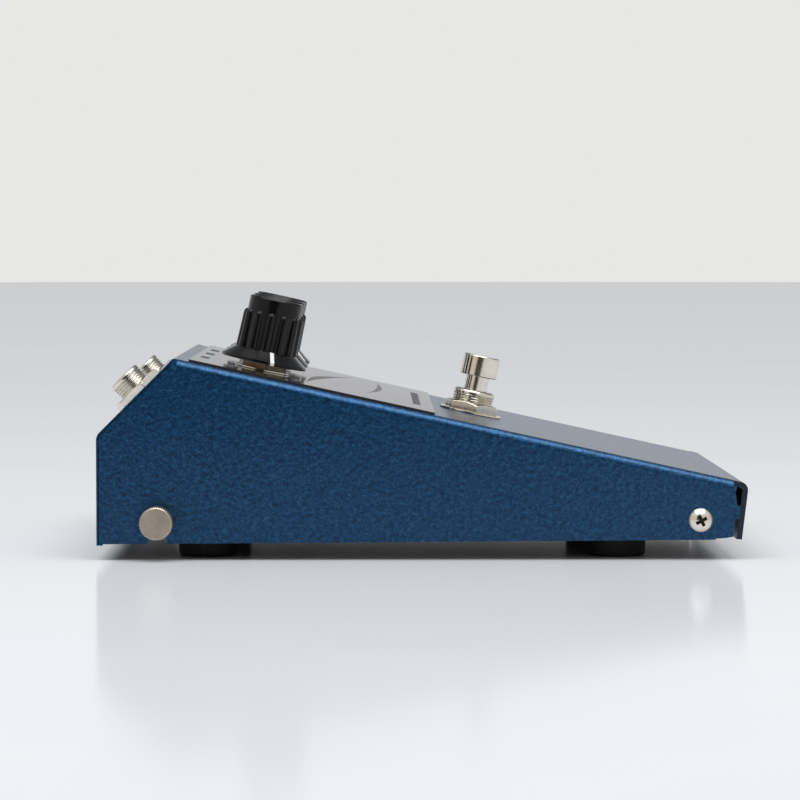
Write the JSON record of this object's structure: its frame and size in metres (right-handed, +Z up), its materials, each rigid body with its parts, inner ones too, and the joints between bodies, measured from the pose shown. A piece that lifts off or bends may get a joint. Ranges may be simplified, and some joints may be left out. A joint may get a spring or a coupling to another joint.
{
  "type": "guitar effects pedal",
  "caption": "Wedge-shaped effects pedal: folded steel cover hinged on a base tray, turning knobs, a press-down footswitch and jack sockets on a rear bevel.",
  "frame": {"origin": "middle of the pedal's footprint, on the table surface that the feet stand on", "axes": "+X across the pedal to the player's right, +Y to the rear edge with the jacks, +Z up"},
  "size_m": [0.132, 0.1761, 0.0714],
  "materials": {
    "cover_paint": "blue hammered paint, slightly glossy",
    "mirror_plate": "polished plate",
    "nickel": "bright nickel",
    "pot_brass": "plain",
    "steel": "plain",
    "tray_zinc": "zinc plated",
    "knob_plastic": "gloss black",
    "black_rubber": "matt",
    "phenolic": "brown board",
    "blue_plastic": "moulded",
    "black_plastic": "moulded",
    "tinned": "tinned",
    "spring_steel": "sprung strip",
    "black_steel": "black oxide",
    "board_green": "solder mask",
    "resistor_tan": "lacquered",
    "capacitor_red": "dipped",
    "capacitor_sleeve": "shrink sleeve",
    "battery_jacket": "plain jacket",
    "foam": "foam tape",
    "wire_red": "insulated wire",
    "wire_black": "insulated wire",
    "wire_yellow": "insulated wire",
    "fish_paper": "insulating paper"
  },
  "bodies": {
    "base": {"base_tray": "tray_zinc", "insulation_sheet": "fish_paper", "rubber_feet": "black_rubber", "foot_screws": "steel", "foot_nuts": "steel", "pivot_screws": "nickel", "pivot_nuts": "steel", "clinch_nuts": "steel"},
    "cover": {"cover_shell": "cover_paint", "panel_plate": "mirror_plate", "pot_washers": "nickel", "pot_nuts": "pot_brass", "pot_bushings": "pot_brass", "pot_wafers": "phenolic", "pot_cans": "steel", "pot_lugs": "tinned", "switch_washer": "nickel", "switch_nut": "nickel", "switch_bushing": "nickel", "switch_back_nut": "nickel", "switch_housing": "blue_plastic", "switch_deck": "phenolic", "switch_terminals": "tinned", "switch_spring": "spring_steel", "jack_bushings": "nickel", "jack_nuts": "nickel", "jack_washers": "nickel", "jack_frames": "nickel", "jack_insulators": "phenolic", "jack_tip_springs": "spring_steel", "circuit_board": "board_green", "resistors": "resistor_tan", "film_capacitors": "capacitor_red", "electrolytic_capacitors": "capacitor_sleeve", "transistors": "black_plastic", "battery": "battery_jacket", "battery_snap": "black_plastic", "battery_clip": "spring_steel", "battery_pad": "foam", "red_wires": "wire_red", "black_wires": "wire_black", "signal_wires": "wire_yellow"},
    "left_knob": {"knob_left": "knob_plastic", "shaft_left": "steel", "set_screw_left": "black_steel"},
    "middle_knob": {"knob_middle": "knob_plastic", "shaft_middle": "steel", "set_screw_middle": "black_steel"},
    "right_knob": {"knob_right": "knob_plastic", "shaft_right": "steel", "set_screw_right": "black_steel"},
    "switch_button": {"switch_plunger": "nickel", "switch_cap": "nickel"},
    "left_thumb_screw": {"thumb_screw_left": "nickel"},
    "right_thumb_screw": {"thumb_screw_right": "nickel"}
  },
  "joints": [
    {"name": "cover_lift", "type": "hinge", "parent": "base", "child": "cover", "pos_m": [0, -0.0753, 0.0108], "axis": [1, 0, 0], "range_deg": [0, 30]},
    {"name": "left_knob_turn", "type": "hinge", "parent": "cover", "child": "left_knob", "pos_m": [-0.027, 0.0445, 0.04966], "axis": [0, -0.213, 0.977], "range_deg": [-253, 47]},
    {"name": "middle_knob_turn", "type": "hinge", "parent": "cover", "child": "middle_knob", "pos_m": [0, 0.0445, 0.04966], "axis": [0, -0.213, 0.977], "range_deg": [-275, 25]},
    {"name": "right_knob_turn", "type": "hinge", "parent": "cover", "child": "right_knob", "pos_m": [0.027, 0.0445, 0.04966], "axis": [0, -0.213, 0.977], "range_deg": [-300, 0]},
    {"name": "footswitch_press", "type": "slide", "parent": "cover", "child": "switch_button", "axis": [0, 0.213, -0.977], "range_m": [0, 0.0025], "stiffness_N_per_m": 900, "springref_m": -0.004, "deforming": ["switch_spring"]},
    {"name": "left_thumb_screw_turn", "type": "hinge", "parent": "base", "child": "left_thumb_screw", "pos_m": [-0.06, 0.0716, 0.0104], "axis": [-1, 0, 0], "continuous": true},
    {"name": "right_thumb_screw_turn", "type": "hinge", "parent": "base", "child": "right_thumb_screw", "pos_m": [0.06, 0.0716, 0.0104], "axis": [1, 0, 0], "continuous": true}
  ]
}
